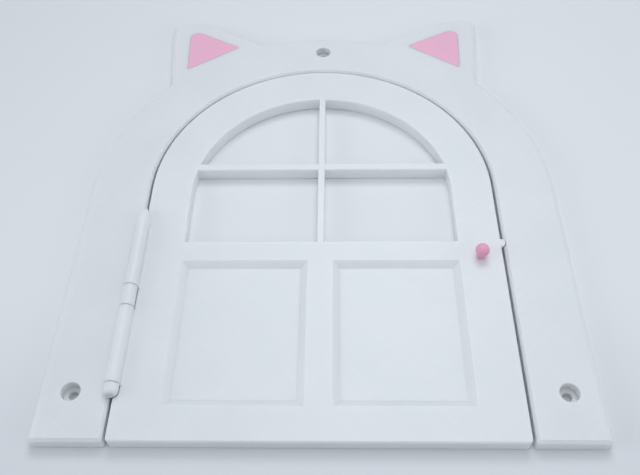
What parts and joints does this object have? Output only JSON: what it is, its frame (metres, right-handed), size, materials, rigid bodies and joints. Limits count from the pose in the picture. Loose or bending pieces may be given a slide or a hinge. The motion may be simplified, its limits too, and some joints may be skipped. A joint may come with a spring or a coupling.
{
  "type": "cat flap",
  "caption": "Arched cat flap frame with cat ears and pink inlays, holding a side-hinged door with open window lites, sunk panels and a small ball knob.",
  "frame": {"origin": "centre of the arch on the back face, the bottom centre of the bounding box as it lies", "axes": "+X to the right seen from the front, +Y up the door towards the ears, +Z out of the front face"},
  "size_m": [0.2542, 0.288, 0.0165],
  "materials": {
    "white_plastic": "satin printed plastic",
    "pink_plastic": "satin printed plastic"
  },
  "bodies": {
    "frame": {"frame": "white_plastic", "hinge_pin": "white_plastic", "ear_inlay_left": "pink_plastic", "ear_inlay_right": "pink_plastic"},
    "door": {"door": "white_plastic", "knob": "pink_plastic"}
  },
  "joints": [
    {"name": "door_swing", "type": "hinge", "parent": "frame", "child": "door", "pos_m": [-0.09325, 0, 0.01], "axis": [0, -1, 0], "range_deg": [0, 180]}
  ]
}
